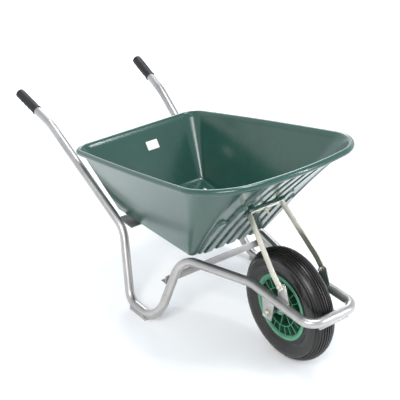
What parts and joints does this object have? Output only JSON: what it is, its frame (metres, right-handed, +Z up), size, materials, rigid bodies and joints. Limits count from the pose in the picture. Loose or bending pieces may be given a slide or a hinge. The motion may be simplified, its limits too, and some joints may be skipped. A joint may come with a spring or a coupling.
{
  "type": "wheelbarrow",
  "caption": "Wheelbarrow with a moulded plastic tray on a bent tube frame, a stay to the fork, rubber grips and a pneumatic wheel that turns on an axle.",
  "frame": {"origin": "on the ground, at the middle of the bounding box", "axes": "+X forward to the wheel, +Y to the left of someone pushing it, +Z up"},
  "size_m": [1.5231, 0.6608, 0.7305],
  "materials": {
    "galvanised": "hot-dip galvanised, satin",
    "zinc": "zinc plated, satin",
    "steel": "turned steel",
    "tray": "moulded, glossy",
    "rim": "moulded, satin",
    "tyre": "matt rubber",
    "butyl": "smooth rubber",
    "grip": "matt, finely textured",
    "label": "plain printed film, blank"
  },
  "bodies": {
    "frame": {"frame_tube": "galvanised", "tipping_bar": "galvanised", "rear_cross_plate": "galvanised", "leg_strut": "galvanised", "leg_shoe_left": "galvanised", "leg_shoe_right": "galvanised", "axle_bracket_left": "galvanised", "axle_bracket_right": "galvanised", "stay_tab_left": "galvanised", "stay_tab_right": "galvanised", "grip_left": "grip", "grip_right": "grip", "tray": "tray", "label": "label", "tray_stay": "zinc", "pad_bolt": "zinc", "pad_washer": "zinc", "pad_nut": "zinc", "stay_bolt_left": "zinc", "stay_bolt_right": "zinc", "stay_nut_left": "zinc", "stay_nut_right": "zinc", "floor_bolt_left": "zinc", "floor_bolt_right": "zinc", "floor_washer_left": "zinc", "floor_washer_right": "zinc", "floor_nut_left": "zinc", "floor_nut_right": "zinc", "axle": "steel", "axle_spacer_left": "steel", "axle_spacer_right": "steel", "axle_washer_left": "zinc", "axle_washer_right": "zinc", "axle_nut_left": "zinc", "axle_nut_right": "zinc"},
    "wheel": {"tyre": "tyre", "inner_tube": "butyl", "wheel_rim": "rim", "valve_stem": "butyl", "valve_cap": "butyl", "wheel_bearing_left": "steel", "wheel_bearing_right": "steel"}
  },
  "joints": [
    {"name": "wheel_spin", "type": "hinge", "parent": "frame", "child": "wheel", "pos_m": [0.531, 0, 0.2], "axis": [0, 1, 0], "continuous": true}
  ]
}
